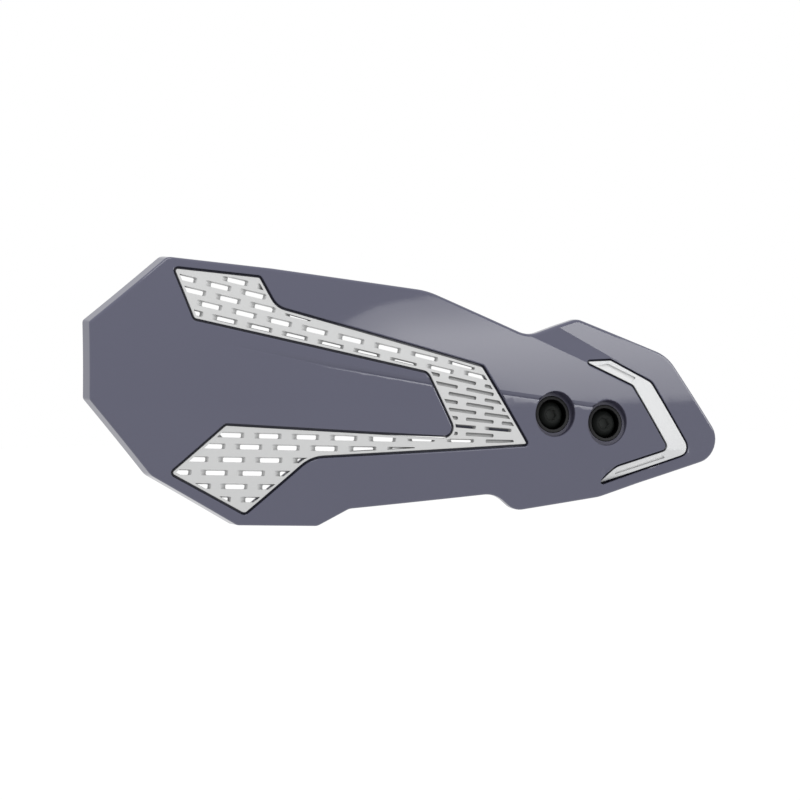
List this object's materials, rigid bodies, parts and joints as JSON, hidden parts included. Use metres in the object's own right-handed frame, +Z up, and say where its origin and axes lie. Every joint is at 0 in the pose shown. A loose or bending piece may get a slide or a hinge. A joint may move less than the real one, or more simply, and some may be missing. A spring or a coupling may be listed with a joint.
{
  "type": "motorcycle hand guard",
  "caption": "Vented motorcycle hand guard: a crowned grey shield with white inserts, carried on a moulded arm that clamps to the handlebar.",
  "frame": {"origin": "centre of the handlebar clamp, on the bar's axis", "axes": "+X inboard along the handlebar towards the bike's middle, -Y forward towards the shield's face, +Z up"},
  "size_m": [0.2533, 0.0823, 0.0995],
  "materials": {
    "shield_plastic": "gloss moulded polypropylene",
    "insert_plastic": "satin moulded plastic",
    "trim_plastic": "satin moulded plastic",
    "mount_plastic": "fine grain, glass-filled nylon",
    "rubber": "matt",
    "black_bolt": "black coated steel",
    "zinc_steel": "zinc plated"
  },
  "bodies": {
    "root": {"guard_shell": "shield_plastic", "vent_insert": "insert_plastic", "end_trim": "trim_plastic", "cup_outboard": "mount_plastic", "cup_inboard": "mount_plastic", "shield_bolt_outboard": "black_bolt", "shield_bolt_inboard": "black_bolt", "shield_washer_outboard": "zinc_steel", "shield_washer_inboard": "zinc_steel", "shield_nut_outboard": "zinc_steel", "shield_nut_inboard": "zinc_steel", "boss_pad": "rubber", "mount_arm": "mount_plastic", "clamp_cap": "mount_plastic", "bar_liner_front": "rubber", "bar_liner_rear": "rubber", "clamp_bolt_upper": "black_bolt", "clamp_bolt_lower": "black_bolt", "clamp_washer_upper": "zinc_steel", "clamp_washer_lower": "zinc_steel", "clamp_nut_upper": "zinc_steel", "clamp_nut_lower": "zinc_steel"}
  },
  "joints": []
}
